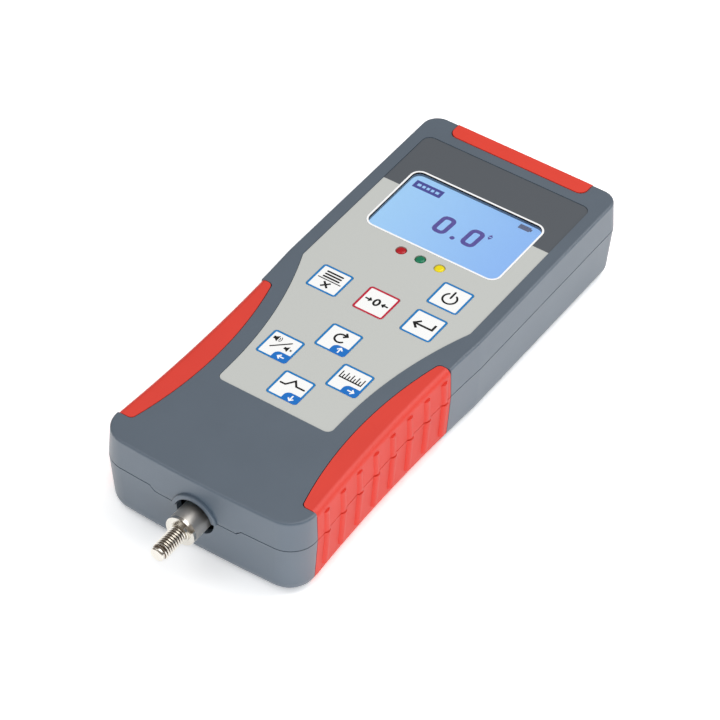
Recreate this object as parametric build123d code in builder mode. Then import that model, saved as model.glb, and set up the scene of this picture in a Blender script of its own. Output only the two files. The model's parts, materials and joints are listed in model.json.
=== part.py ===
from build123d import *
import math
import os

os.makedirs("parts", exist_ok=True)

# Handheld force gauge. Millimetres. The back face lies on Z = 0, +Y runs towards the display end,
# and the measuring rod leaves the other end along -Y. X = 0 is the plane of symmetry.

# Housing: two moulded halves that meet at the parting plane, with draft on their walls
lower_height = 20.0
upper_height = 11.4
half_width = 37.5
upper_draft = 0.5
lower_draft = 1.2
end_y = 93.2
near_bow = 1.2
near_corner_radius = 9.3
far_corner_radius = 6.0
waist_depth = 1.3
waist_y = -36.0
waist_reach = 44.0
near_flare = 0.3
top_edge_radius = 0.8
bottom_edge_radius = 4.5
wall = 2.4
floor_wall = 2.4
top_wall = 1.8
seam_gap = 0.3
seam_depth = 0.9

# Soft grips on the sides of both halves
grip_near_y = -82.0
grip_far_y = -7.9
grip_thickness = 2.0
grip_edge_radius = 2.2
grip_waist_y = -47.0
grip_top_reach = 10.3
grip_top_bulge = 4.8
grip_bottom_reach = 5.9
grip_bottom_bulge = 2.4
grip_corner_radius = 1.8
grip_gap = 0.25
rib_count = 8
rib_pitch = 9.38
rib_first_y = -76.9
rib_width = 3.1
rib_height = 0.7
rib_step = 0.3
rib_top_margin = 3.1
rib_bottom_margin = 5.9

# Red cap over the connector end
cap_side = 11.2
cap_depth = 6.9
cap_bottom_z = 6.0
cap_thickness = 2.0
cap_proud = 0.2
cap_corner_radius = 3.0
cap_edge_radius = 1.0

# Front foil, its recess and the display opening
foil_side = 5.4
foil_top_y = 82.0
foil_kink_y = 9.5
foil_flank_y = -46.0
foil_waist_side = 16.3
foil_bottom_y = -52.4
foil_corner = 3.0
foil_bottom_corner = 2.2
foil_thickness = 0.4
foil_sink = 0.2
foil_gap = 0.12
display_step_y = 32.2
window_side = 7.1
window_height = 30.6
window_y = 49.9
window_corner = 3.0
window_border = 0.8
window_thickness = 1.0
window_gap = 0.05

# Keys
key_size = 11.5
key_corner = 1.1
key_gap = 0.12
key_travel = 0.3
key_column_side = 14.1
pad_column_side = 8.0
function_row_y = 4.2
power_row_y = 19.6
pad_top_y = -16.8
pad_middle_y = -29.8
pad_bottom_y = -42.8
circuit_thickness = 1.0
circuit_base = 0.25
circuit_margin = 1.2
key_well = 12.3
dome_radius = 4.0
dome_top_radius = 1.6
dome_height = 0.4
dome_sheet = 0.12

# Limit lamps
lamp_y = 29.4
lamp_pitch = 7.4
lamp_radius = 1.85
lamp_gap = 0.1
lamp_flange_radius = 2.1
lamp_flange = 1.0
lamp_proud = 0.2
lamp_dome = 1.0

# Main board and the display module
board_thickness = 1.6
board_rise = 2.4
board_side = 9.5
board_near_y = -50.0
board_far_y = 86.0
board_post_gap = 0.6
board_boss_radius = 2.6
board_boss_side = 3.0
board_boss_rows = (-8.0, 76.0)
board_screw_radius = 1.0
board_screw_head = 2.0
board_screw_head_height = 1.4
board_screw_bite = 0.9
chip_height = 1.3
chip_places = ((-6.0, -10.0, 12.0, 12.0), (8.0, -32.0, 8.0, 6.0), (10.0, 12.0, 9.0, 7.0))
lcd_frame_border = 4.0
lcd_frame_height = 36.2
lcd_plate = 1.0
lcd_seat = 0.1
lcd_glass_border = 2.1
lcd_glass_height = 33.0
lcd_glass_thickness = 1.8
tail_width = 10.0
tail_thickness = 0.3
tail_inset = 1.0
tail_foot = 5.0
tail_slot_gap = 0.3
lead_radius = 1.1
lead_bend = 3.4
battery_lead_x = -20.0
battery_lead_z = 10.0
battery_lead_run = 6.0
cell_cable_y = -48.0
cell_cable_run = 6.0

# Measuring rod and its threaded adapter
rod_z = 16.6
rod_radius = 5.3
rod_hole_z = 17.0
rod_hole_radius = 7.0
collar_radius = 8.5
collar_proud = 1.0
collar_edge = 0.5
tongue_half_top = 16.9
tongue_half_bottom = 15.0
tongue_drop = 1.5
rod_protrusion = 6.3
flange_radius = 5.3
flange_thickness = 1.2
flange_slot_width = 2.6
flange_slot_depth = 1.7
flange_slot_angle = 40.0
stud_radius = 3.0
stud_length = 12.0
stud_chamfer = 0.8
stud_relief_radius = 2.35
stud_relief = 1.2
spigot_radius = 2.5
spigot_length = 6.0
fit_clearance = 0.05
rod_travel = 0.3
rod_stop_gap = 0.05

# Load cell: a block with two crossing slots, which bends along the rod
cell_near_y = -66.0
cell_length = 30.0
cell_half_width = 12.5
cell_height = 12.0
cell_arm = 8.0
cell_slot = 2.0
cell_slot_reach = 18.5
cell_eye_radius = 3.6
cell_eye_pitch = 6.4
cell_bolt_head = 4.5
cell_bolt_head_height = 3.6
cell_bolt_bite = 7.0

# Metal chassis that carries the cell and holds the threads for a test stand
frame_base_z = 5.0
frame_plate = 3.0
frame_side = 5.6
frame_near_y = -80.0
frame_far_y = -20.0
upstand_thickness = 6.0
upstand_side = 6.0
frame_corner = 3.0
stand_spacing_x = 24.0
stand_spacing_y = 40.0
stand_y = -50.0
stand_boss_radius = 4.0
stand_thread_radius = 1.65
stand_thread_depth = 6.0
stand_sink = 0.3
frame_screw_side = 4.0
frame_screw_rows = (-76.0, -24.0)
frame_screw_radius = 1.45
frame_screw_head = 2.75
frame_screw_length = 4.8
frame_boss_radius = 3.4
screw_head_height = 1.8

# Battery, buzzer, sockets
battery_side = 8.7
battery_count = 4
battery_length = 50.5
battery_near_y = 8.0
battery_seat = 0.1
cradle_height = 6.0
cradle_wall = 1.5
buzzer_radius = 6.0
buzzer_height = 6.0
buzzer_place = (16.0, -2.0)
buzzer_hole_radius = 1.0
buzzer_hole_depth = 0.8
usb_x = 12.0
usb_width = 7.7
usb_height = 3.9
usb_length = 9.2
usb_shell = 0.4
usb_depth = 6.0
usb_tongue = 1.0
jack_x = -12.0
jack_width = 9.0
jack_height = 11.0
jack_length = 13.0
jack_bore_radius = 3.0
jack_pin_radius = 1.0
jack_bore_depth = 9.0
socket_gap = 0.35
socket_sink = 1.5

# Housing screws from the back, in posts near the corners
post_side = 9.9
post_far_y = 83.0
post_near_y = -83.4
post_radius = 3.9
housing_screw_radius = 1.45
housing_screw_head = 2.8
housing_screw_length = 22.0
housing_head_depth = 3.2
screw_clearance = 0.15
drive_share = 0.42
drive_depth = 0.9

# Widths that follow the width of the housing
grip_top_x = half_width - grip_top_reach
grip_bottom_x = half_width - grip_bottom_reach
cap_half_width = half_width - cap_side
foil_half_width = half_width - foil_side
foil_waist_x = half_width - foil_waist_side
window_width = 2 * (foil_half_width - window_side)
key_column = foil_half_width - key_column_side
pad_column = foil_waist_x - pad_column_side
board_half_width = half_width - board_side
board_boss_x = board_half_width - board_boss_side
lcd_frame_width = window_width + 2 * lcd_frame_border
lcd_glass_width = window_width + 2 * lcd_glass_border
post_x = half_width - post_side
frame_half_width = post_x - frame_side
frame_screw_x = frame_half_width - frame_screw_side
upstand_half_width = frame_half_width - upstand_side
battery_radius = (half_width - battery_side) / battery_count

# Levels and edges worked out from the sizes above
top_z = lower_height + upper_height
foil_z = top_z - foil_sink
key_z = foil_z - foil_thickness
circuit_z = key_z - circuit_thickness
ceiling_z = circuit_z - top_wall
board_z = ceiling_z - board_rise
lens_z = foil_z - window_thickness
lcd_z = lens_z - lcd_plate
board_under_z = board_z - board_thickness
cell_far_y = cell_near_y + cell_length
cell_bottom_z = rod_z - cell_height / 2
rod_front_y = -end_y - rod_protrusion
tail_y = foil_bottom_y + circuit_margin + tail_inset
pocket_height = 2 * lower_height
key_places = {
    "key_menu": (-key_column, function_row_y),
    "key_zero": (0.0, function_row_y),
    "key_enter": (key_column, function_row_y),
    "key_power": (key_column, power_row_y),
    "key_reset": (0.0, pad_top_y),
    "key_sound": (-pad_column, pad_middle_y),
    "key_units": (pad_column, pad_middle_y),
    "key_mode": (0.0, pad_bottom_y),
}
lamp_places = [(x * lamp_pitch, lamp_y) for x in (-1, 0, 1)]
stand_places = [
    (x * stand_spacing_x / 2, stand_y + y * stand_spacing_y / 2) for x in (-1, 1) for y in (-1, 1)
]
frame_screw_places = [(x * frame_screw_x, y) for x in (-1, 1) for y in frame_screw_rows]
post_places = [(x * post_x, y) for x in (-1, 1) for y in (post_near_y, post_far_y)]
board_boss_places = [(x * board_boss_x, y) for x in (-1, 1) for y in board_boss_rows]


def save(block, name):
    """Label a finished sub-part and write its file."""
    block.part.label = name
    export_step(block.part, "parts/" + name + ".step")


def housing_section(z, inset, draft):
    """Rounded plan outline of the housing at height z, moved inwards by an inset and a draft."""
    side = half_width - inset - draft
    near_side = side + near_flare
    end = end_y - inset - draft
    bow_radius = (near_side**2 + near_bow**2) / (2 * near_bow)
    bow_angle = math.degrees(math.asin(near_side / bow_radius))
    corners = [(side, end, far_corner_radius), (near_side, near_bow - end, near_corner_radius)]
    with BuildSketch(Plane.XY.offset(z)) as section:
        with BuildLine():
            bow = JernArc((0, -end), (1, 0), bow_radius, bow_angle)
            near_line = Line(bow @ 1, (near_side, waist_y - waist_reach))
            ThreePointArc(near_line @ 1, (side - waist_depth, waist_y), (side, waist_y + waist_reach))
            Line((side, waist_y + waist_reach), (side, end))
            Line((side, end), (0, end))
            mirror(about=Plane.YZ)
        make_face()
        for x, y, radius in corners:
            sharp = [section.vertices().sort_by_distance((sign * x, y, z))[0] for sign in (-1, 1)]
            fillet(sharp, max(radius - inset, 1.0))
    return section.sketch


def upper_section(z, inset):
    """Rounded outline on the drafted upper wall."""
    return housing_section(z, inset, upper_draft * (z - lower_height) / upper_height)


def lower_section(z, inset):
    """Rounded outline on the drafted lower wall."""
    return housing_section(z, inset, lower_draft * (lower_height - z) / lower_height)


def upper_block(inset, top, edge_radius):
    """Solid form of the upper half, moved inwards by inset, with its top edge rounded."""
    with BuildPart() as block:
        loft([upper_section(lower_height, inset), upper_section(top, inset)], ruled=True)
        if edge_radius:
            fillet(block.faces().sort_by(Axis.Z)[-1].edges(), edge_radius)
    return block.part


def lower_block(inset, bottom, edge_radius):
    """Solid form of the lower half, moved inwards by inset, with its bottom edge rounded."""
    with BuildPart() as block:
        loft([lower_section(bottom, inset), lower_section(lower_height, inset)], ruled=True)
        if edge_radius:
            fillet(block.faces().sort_by(Axis.Z)[0].edges(), edge_radius)
    return block.part


def grip_region(side, inner_x, bulge, gap, bottom):
    """Upright block over one grip: an arc bulging inwards, rounded into two straight ends."""
    near_y = grip_near_y - gap
    far_y = grip_far_y + gap
    end_x = side * (inner_x + bulge - gap)
    outer_x = side * 2 * half_width
    with BuildPart() as region:
        with BuildSketch(Plane.XY.offset(bottom)) as plan:
            with BuildLine():
                ThreePointArc((end_x, near_y), (side * (inner_x - gap), grip_waist_y), (end_x, far_y))
                Polyline((end_x, far_y), (outer_x, far_y), (outer_x, near_y), (end_x, near_y))
            make_face()
            fillet(plan.vertices().sort_by_distance((0, grip_waist_y, bottom))[:2], grip_corner_radius)
        extrude(amount=pocket_height)
    return region.part


def cap_region(gap, bottom):
    """Upright block over the end cap, rounded at its two inner corners."""
    with BuildPart() as region:
        with BuildSketch(Plane.XY.offset(bottom)) as plan:
            with Locations((0, end_y - cap_depth - gap)):
                Rectangle(2 * (cap_half_width + gap), 4 * cap_depth, align=(Align.CENTER, Align.MIN))
            fillet(plan.vertices().sort_by(Axis.Y)[:2], cap_corner_radius)
        extrude(amount=pocket_height)
    return region.part


def side_x(y):
    """Half width of the housing on the waist arc at the parting plane."""
    near_x = half_width + near_flare
    ends_x = (near_x + half_width) / 2
    sag = waist_depth + ends_x - half_width
    radius = (waist_reach**2 + sag**2) / (2 * sag)
    reach = y - waist_y
    slope = (half_width - near_x) / (2 * waist_reach)
    return half_width - waist_depth + radius - math.sqrt(radius**2 - reach**2) + slope * reach * 0.5


def rib_bars(side, upper):
    """Row of half-round upright ribs that follow the draft of one side wall."""
    proud = rib_height if upper else rib_height + rib_step
    rib_radius = (rib_width**2 / 4 + proud**2) / (2 * proud)
    drop = upper_draft / upper_height if upper else -lower_draft / lower_height
    lean = math.atan(drop)
    height = (upper_height - rib_top_margin) if upper else (lower_height - rib_bottom_margin)
    sign = 1 if upper else -1
    with BuildPart() as bars:
        for index in range(rib_count):
            y = rib_first_y + index * rib_pitch
            x = side_x(y) + proud - rib_radius
            start = seam_gap / 2 * sign
            base = Plane(
                origin=(side * (x - drop * start), y, lower_height + start),
                x_dir=(side * math.cos(lean), 0, math.sin(lean)),
                z_dir=(-side * math.sin(lean), 0, math.cos(lean)),
            )
            with BuildSketch(base):
                Circle(rib_radius)
            extrude(amount=sign * (height - seam_gap / 2))
    return bars.part


def grip_half(side, upper):
    """One soft grip: the skin of its half inside the grip outline, with its ribs."""
    if upper:
        region = grip_region(side, grip_top_x, grip_top_bulge, 0, lower_height + seam_gap / 2)
    else:
        low_z = lower_height - seam_gap / 2 - pocket_height
        region = grip_region(side, grip_bottom_x, grip_bottom_bulge, 0, low_z)
    with BuildPart() as grip:
        add(upper_grip_form if upper else lower_form)
        add(region, mode=Mode.INTERSECT)
        add(rib_bars(side, upper))
        add(upper_core if upper else lower_core, mode=Mode.SUBTRACT)
    return grip


def foil_outline(grow):
    """Outline of the front foil: wide at the display, waisted between the grips."""
    with BuildSketch(mode=Mode.PRIVATE) as outline:
        with BuildLine():
            bottom = Line((0, foil_bottom_y), (foil_waist_x, foil_bottom_y))
            flank = Line(bottom @ 1, (foil_waist_x, foil_flank_y))
            waist = TangentArc(flank @ 1, (foil_half_width, foil_kink_y), tangent=(0, 1))
            side = Line(waist @ 1, (foil_half_width, foil_top_y))
            Line(side @ 1, (0, foil_top_y))
            mirror(about=Plane.YZ)
        make_face()
        for y, x, radius in (
            (foil_top_y, foil_half_width, foil_corner),
            (foil_bottom_y, foil_waist_x, foil_bottom_corner),
        ):
            fillet([outline.vertices().sort_by_distance((s * x, y, 0))[0] for s in (-1, 1)], radius)
        if grow:
            offset(amount=grow)
    return outline.sketch


def window_outline(grow):
    """Rounded rectangle of the display window."""
    with BuildSketch(mode=Mode.PRIVATE) as outline:
        with Locations((0, window_y)):
            RectangleRounded(window_width + 2 * grow, window_height + 2 * grow, window_corner + grow)
    return outline.sketch


def circuit_outline(grow):
    """Outline of the switch sheet under the foil, which ends below the display."""
    with BuildSketch(mode=Mode.PRIVATE) as outline:
        add(foil_outline(grow - circuit_margin))
        with Locations((0, display_step_y + grow)):
            Rectangle(4 * half_width, 4 * half_width, align=(Align.CENTER, Align.MIN), mode=Mode.SUBTRACT)
    return outline.sketch


def key_outlines(size, corner):
    """Rounded squares at the places of all keys."""
    with BuildSketch(mode=Mode.PRIVATE) as outline:
        with Locations(*key_places.values()):
            RectangleRounded(size, size, corner)
    return outline.sketch


def near_tongue(grow):
    """Trapezoid block that drops from the parting plane to the rod's opening at the near end."""
    low_z = lower_height - tongue_drop - grow
    with BuildPart() as block:
        with BuildSketch(Plane.XZ.offset(end_y - near_bow - near_corner_radius)):
            with BuildLine():
                Polyline(
                    (-tongue_half_top - grow, lower_height),
                    (-tongue_half_bottom - grow, low_z),
                    (tongue_half_bottom + grow, low_z),
                    (tongue_half_top + grow, lower_height),
                    close=True,
                )
            make_face()
        extrude(amount=2 * near_corner_radius)
    return block.part


def rod_opening():
    """Round hole for the measuring rod through the near end."""
    with BuildPart() as opening:
        with BuildSketch(Plane.XZ.offset(end_y - 2 * wall)):
            with Locations((0, rod_hole_z)):
                Circle(rod_hole_radius)
        extrude(amount=3 * wall + collar_proud)
    return opening.part


def socket_openings():
    """Blocks that clear the two sockets through the end wall and the cap."""
    with BuildPart() as openings:
        with BuildSketch(Plane.XZ.offset(-end_y - wall)):
            with Locations((usb_x, board_under_z - usb_height / 2)):
                Rectangle(usb_width + 2 * socket_gap, usb_height + 2 * socket_gap)
            with Locations((jack_x, board_under_z - jack_height / 2)):
                Rectangle(jack_width + 2 * socket_gap, jack_height + 2 * socket_gap)
        extrude(amount=3 * wall + cap_thickness)
    return openings.part


def screw_body(plane, head_radius, head_height, shank_radius, length):
    """Pan-head screw with a hexagon socket; its head bears on the plane, on the side of its normal."""
    with BuildPart() as screw:
        with BuildSketch(plane):
            Circle(head_radius)
        extrude(amount=head_height)
        with BuildSketch(plane):
            Circle(shank_radius)
        extrude(amount=-length)
        with BuildSketch(plane.offset(head_height)):
            RegularPolygon(head_radius * drive_share, 6)
        extrude(amount=-drive_depth, mode=Mode.SUBTRACT)
    return screw.part


def lead_tube(points):
    """Insulated lead along straight runs joined by one bend."""
    with BuildPart() as tube:
        with BuildLine() as route:
            FilletPolyline(*points, radius=lead_bend)
        with BuildSketch(Plane(origin=points[0], z_dir=route.line % 0)):
            Circle(lead_radius)
        sweep()
    return tube


def lamp(x, y):
    """Lamp with a domed tip, which stands on the board and looks out of the foil."""
    with BuildPart() as body:
        with BuildSketch(Plane.XY.offset(board_z)):
            with Locations((x, y)):
                Circle(lamp_radius)
        extrude(amount=foil_z + lamp_proud - board_z)
        fillet(body.edges().sort_by(Axis.Z)[-1], lamp_dome)
        with BuildSketch(Plane.XY.offset(board_z)):
            with Locations((x, y)):
                Circle(lamp_flange_radius)
        extrude(amount=lamp_flange)
    return body


def key_plate(x, y):
    """Key face, cut free from the foil round it."""
    with BuildPart() as plate:
        with BuildSketch(Plane.XY.offset(key_z)):
            with Locations((x, y)):
                RectangleRounded(key_size, key_size, key_corner)
        extrude(amount=foil_thickness)
    return plate


def snap_dome(x, y):
    """Thin sheet disc raised to a flat top, on the floor of a key's well."""
    with BuildPart() as dome:
        with BuildSketch(Plane((x, y, circuit_z + circuit_base), x_dir=(1, 0, 0), z_dir=(0, -1, 0))):
            with BuildLine():
                Polyline(
                    (0, dome_height),
                    (dome_top_radius, dome_height),
                    (dome_radius, dome_sheet),
                    (dome_radius, 0),
                    (dome_top_radius, dome_height - dome_sheet),
                    (0, dome_height - dome_sheet),
                    close=True,
                )
            make_face()
        revolve(axis=Axis((x, y, 0), (0, 0, 1)))
    return dome.part


# Forms shared by the shells, the grips and the cap
upper_form = upper_block(0, top_z, top_edge_radius)
lower_form = lower_block(0, 0, bottom_edge_radius)
upper_grip_form = upper_block(0, top_z, grip_edge_radius)
upper_core = upper_block(grip_thickness, top_z - grip_thickness, 0)
lower_core = lower_block(grip_thickness, grip_thickness, bottom_edge_radius - grip_thickness)
upper_cavity = upper_block(wall, ceiling_z, 0)
lower_cavity = lower_block(wall, floor_wall, bottom_edge_radius - floor_wall)
upper_inner = upper_block(grip_thickness + wall, ceiling_z, 0)
lower_inner = lower_block(grip_thickness + wall, grip_thickness + floor_wall, 0)
cap_form = upper_block(-cap_proud, top_z + cap_proud, cap_edge_radius) + lower_block(-cap_proud, 0, 0)
cap_core = upper_block(cap_thickness, top_z - cap_thickness, 0) + lower_block(cap_thickness, 0, 0)

# Pockets that the grips and the cap sit in, and the thicker wall behind each pocket
cap_pocket = cap_region(grip_gap, cap_bottom_z - grip_gap) - cap_core
upper_pockets = [cap_pocket]
lower_pockets = [cap_pocket]
backed_regions = [cap_region(wall, -1)]
for side in (-1, 1):
    upper_pockets.append(
        grip_region(side, grip_top_x, grip_top_bulge, grip_gap, lower_height - wall) - upper_core
    )
    lower_pockets.append(grip_region(side, grip_bottom_x, grip_bottom_bulge, grip_gap, -wall) - lower_core)
    backed_regions.append(grip_region(side, grip_top_x, grip_top_bulge, wall, -wall))
upper_backing = [(region & upper_cavity) - upper_inner for region in backed_regions]
lower_backing = [(region & lower_cavity) - lower_inner for region in backed_regions]
tongue = (near_tongue(0) & lower_form) - lower_cavity

# Shadow groove along the seam, left out where the tongue hangs down
with BuildPart() as seam_groove:
    add(upper_form)
    add(upper_block(seam_depth, top_z, 0), mode=Mode.SUBTRACT)
    split(bisect_by=Plane.XY.offset(lower_height + seam_gap), keep=Keep.BOTTOM)
    with BuildSketch(Plane.XY.offset(lower_height)):
        with Locations((0, -end_y)):
            Rectangle(2 * tongue_half_top, 4 * near_corner_radius)
    extrude(amount=seam_gap, mode=Mode.SUBTRACT)

# Upper half of the housing
with BuildPart() as upper_shell:
    add(upper_form)
    add(upper_cavity, mode=Mode.SUBTRACT)
    for backing in upper_backing:
        add(backing)
    for pocket in upper_pockets:
        add(pocket, mode=Mode.SUBTRACT)
    add(seam_groove.part, mode=Mode.SUBTRACT)
    add(tongue)
    with BuildSketch(Plane.XY.offset(key_z)):
        add(foil_outline(foil_gap))
    extrude(amount=top_z - key_z, mode=Mode.SUBTRACT)
    with BuildSketch(Plane.XY.offset(circuit_z)):
        add(circuit_outline(foil_gap))
    extrude(amount=circuit_thickness, mode=Mode.SUBTRACT)
    with BuildSketch(Plane.XY.offset(lens_z)):
        add(window_outline(window_border + window_gap))
    extrude(amount=window_thickness, mode=Mode.SUBTRACT)
    with BuildSketch(Plane.XY.offset(ceiling_z)):
        add(window_outline(0))
        with Locations(*lamp_places):
            Circle(lamp_radius + lamp_gap)
        with Locations((0, tail_y)):
            Rectangle(tail_width + 2 * tail_slot_gap, tail_thickness + 2 * tail_slot_gap)
    extrude(amount=top_z - ceiling_z, mode=Mode.SUBTRACT)
    with BuildSketch(Plane.XY.offset(ceiling_z)):
        with Locations((0, window_y)):
            Rectangle(lcd_frame_width + 2 * lcd_seat, lcd_frame_height + 2 * lcd_seat)
    extrude(amount=lcd_z - ceiling_z, mode=Mode.SUBTRACT)
    with BuildSketch(Plane.XY.offset(ceiling_z)):
        with Locations(*board_boss_places):
            Circle(board_boss_radius)
    extrude(amount=-board_rise)
    with BuildSketch(Plane.XY.offset(board_z)):
        with Locations(*board_boss_places):
            Circle(board_screw_radius + fit_clearance)
    extrude(amount=board_rise + board_screw_bite, mode=Mode.SUBTRACT)
    with BuildSketch(Plane.XY.offset(ceiling_z)):
        with Locations(*post_places):
            Circle(post_radius)
    extrude(amount=lower_height - ceiling_z)
    with BuildSketch(Plane.XY.offset(lower_height)):
        with Locations(*post_places):
            Circle(housing_screw_radius + fit_clearance)
    extrude(amount=housing_head_depth + housing_screw_length - lower_height + seam_gap, mode=Mode.SUBTRACT)
    with BuildSketch(Plane.XZ.offset(end_y - wall)):
        with Locations((0, rod_hole_z)):
            Circle(collar_radius)
        with Locations((0, lower_height - tongue_drop)):
            Rectangle(
                4 * collar_radius, 4 * collar_radius, align=(Align.CENTER, Align.MAX), mode=Mode.SUBTRACT
            )
    extrude(amount=wall + collar_proud)
    collar_front = upper_shell.faces().sort_by(Axis.Y)[0]
    fillet(collar_front.edges().filter_by(GeomType.CIRCLE), collar_edge)
    add(rod_opening(), mode=Mode.SUBTRACT)
    add(socket_openings(), mode=Mode.SUBTRACT)
save(upper_shell, "upper_shell")

# Lower half of the housing, with its posts, the chassis bosses and the battery cradle
with BuildPart() as lower_shell:
    add(lower_form)
    add(lower_cavity, mode=Mode.SUBTRACT)
    for backing in lower_backing:
        add(backing)
    for pocket in lower_pockets:
        add(pocket, mode=Mode.SUBTRACT)
    add(near_tongue(seam_gap), mode=Mode.SUBTRACT)
    with BuildSketch(Plane.XY.offset(floor_wall / 2)):
        with Locations(*post_places):
            Circle(post_radius)
    extrude(amount=lower_height - floor_wall / 2)
    with BuildSketch(Plane.XY.offset(floor_wall / 2)):
        with Locations(*frame_screw_places):
            Circle(frame_boss_radius)
    extrude(amount=frame_base_z - floor_wall / 2)
    with BuildSketch(Plane.XY.offset(floor_wall / 2)):
        with Locations((0, battery_near_y + battery_length / 2)):
            Rectangle(
                2 * (battery_count * battery_radius + battery_seat + cradle_wall),
                battery_length + 2 * (battery_seat + cradle_wall),
            )
            Rectangle(
                2 * (battery_count * battery_radius + battery_seat),
                battery_length + 2 * battery_seat,
                mode=Mode.SUBTRACT,
            )
    extrude(amount=cradle_height)
    with BuildSketch(Plane.XY.offset(frame_base_z)):
        with Locations(*frame_screw_places):
            Circle(frame_screw_radius + fit_clearance)
    extrude(amount=frame_plate - frame_screw_length - fit_clearance, mode=Mode.SUBTRACT)
    with BuildSketch():
        with Locations(*stand_places):
            Circle(stand_boss_radius + screw_clearance)
    extrude(amount=frame_base_z, mode=Mode.SUBTRACT)
    with BuildSketch():
        with Locations(*post_places):
            Circle(housing_screw_head + screw_clearance)
    extrude(amount=housing_head_depth, mode=Mode.SUBTRACT)
    with BuildSketch():
        with Locations(*post_places):
            Circle(housing_screw_radius + screw_clearance)
    extrude(amount=lower_height, mode=Mode.SUBTRACT)
    add(rod_opening(), mode=Mode.SUBTRACT)
    add(socket_openings(), mode=Mode.SUBTRACT)
save(lower_shell, "lower_shell")

# Four grip halves
for side, hand in ((1, "right"), (-1, "left")):
    save(grip_half(side, True), "grip_" + hand + "_upper")
    save(grip_half(side, False), "grip_" + hand + "_lower")

# Red cap over the connector end
with BuildPart() as end_cap:
    add(cap_form)
    add(cap_region(0, cap_bottom_z), mode=Mode.INTERSECT)
    add(cap_core, mode=Mode.SUBTRACT)
    add(socket_openings(), mode=Mode.SUBTRACT)
save(end_cap, "end_cap")

# Front foil with its cut-outs
with BuildPart() as keypad_overlay:
    with BuildSketch(Plane.XY.offset(key_z)):
        add(foil_outline(0))
        add(window_outline(window_border + window_gap), mode=Mode.SUBTRACT)
        add(key_outlines(key_size + 2 * key_gap, key_corner + key_gap), mode=Mode.SUBTRACT)
        with Locations(*lamp_places):
            Circle(lamp_radius + lamp_gap, mode=Mode.SUBTRACT)
    extrude(amount=foil_thickness)
save(keypad_overlay, "keypad_overlay")

# Clear window over the display
with BuildPart() as display_window:
    with BuildSketch(Plane.XY.offset(lens_z)):
        add(window_outline(window_border))
    extrude(amount=window_thickness)
save(display_window, "display_window")

# Eight keys
for key_name, (key_x, key_y) in key_places.items():
    save(key_plate(key_x, key_y), key_name)

# Switch sheet under the foil, with a well under each key
with BuildPart() as keypad_circuit:
    with BuildSketch(Plane.XY.offset(circuit_z)):
        add(circuit_outline(0))
        with Locations(*lamp_places):
            Circle(lamp_radius + lamp_gap, mode=Mode.SUBTRACT)
    extrude(amount=circuit_thickness)
    with BuildSketch(Plane.XY.offset(circuit_z + circuit_base)):
        add(key_outlines(key_well, key_corner))
    extrude(amount=circuit_thickness - circuit_base, mode=Mode.SUBTRACT)
save(keypad_circuit, "keypad_circuit")

# Snap domes, one on the floor of each well
with BuildPart() as snap_domes:
    for key_x, key_y in key_places.values():
        add(snap_dome(key_x, key_y))
save(snap_domes, "snap_domes")

# Ribbon from the switch sheet through the slot to the board
with BuildPart() as keypad_tail:
    with BuildSketch(Plane.XY.offset(board_z)):
        with Locations((0, tail_y)):
            Rectangle(tail_width, tail_thickness)
    extrude(amount=circuit_z - board_z)
    with BuildSketch(Plane.XY.offset(board_z)):
        with Locations((0, tail_y - tail_thickness / 2)):
            Rectangle(tail_width, tail_foot, align=(Align.CENTER, Align.MIN))
    extrude(amount=tail_thickness)
save(keypad_tail, "keypad_tail")

# Display module: backlight frame and the glass in it
with BuildPart() as lcd_frame:
    with BuildSketch(Plane.XY.offset(board_z)):
        with Locations((0, window_y)):
            Rectangle(lcd_frame_width, lcd_frame_height)
    extrude(amount=lcd_z - lcd_seat - board_z)
    with BuildSketch(Plane.XY.offset(lcd_z - lcd_seat)):
        with Locations((0, window_y)):
            Rectangle(lcd_glass_width + 2 * lcd_seat, lcd_glass_height + 2 * lcd_seat)
    extrude(amount=-lcd_glass_thickness, mode=Mode.SUBTRACT)
save(lcd_frame, "lcd_frame")

with BuildPart() as lcd_glass:
    with BuildSketch(Plane.XY.offset(lcd_z - lcd_seat)):
        with Locations((0, window_y)):
            Rectangle(lcd_glass_width, lcd_glass_height)
    extrude(amount=-lcd_glass_thickness)
save(lcd_glass, "lcd_glass")

# Main board, notched round the posts, with its chips, screws and buzzer
with BuildPart() as main_board:
    with BuildSketch(Plane.XY.offset(board_under_z)):
        with Locations((0, (board_near_y + board_far_y) / 2)):
            Rectangle(2 * board_half_width, board_far_y - board_near_y)
        with Locations(*post_places):
            Circle(post_radius + board_post_gap, mode=Mode.SUBTRACT)
        with Locations(*board_boss_places):
            Circle(board_screw_radius + screw_clearance, mode=Mode.SUBTRACT)
    extrude(amount=board_thickness)
save(main_board, "main_board")

with BuildPart() as board_chips:
    for chip_x, chip_y, chip_width, chip_length in chip_places:
        with BuildSketch(Plane.XY.offset(board_z)):
            with Locations((chip_x, chip_y)):
                Rectangle(chip_width, chip_length)
        extrude(amount=chip_height)
save(board_chips, "board_chips")

board_screw_length = board_thickness + board_rise + board_screw_bite - seam_gap
with BuildPart() as board_screws:
    for x, y in board_boss_places:
        seat = Plane((x, y, board_under_z), z_dir=(0, 0, -1))
        add(screw_body(seat, board_screw_head, board_screw_head_height, board_screw_radius, board_screw_length))
save(board_screws, "board_screws")

with BuildPart() as buzzer:
    with BuildSketch(Plane.XY.offset(board_under_z)):
        with Locations(buzzer_place):
            Circle(buzzer_radius)
    extrude(amount=-buzzer_height)
    with BuildSketch(Plane.XY.offset(board_under_z - buzzer_height)):
        with Locations(buzzer_place):
            Circle(buzzer_hole_radius)
    extrude(amount=buzzer_hole_depth, mode=Mode.SUBTRACT)
save(buzzer, "buzzer")

# Limit lamps
for colour, (x, y) in zip(("red", "green", "yellow"), lamp_places):
    save(lamp(x, y), "led_" + colour)

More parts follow.
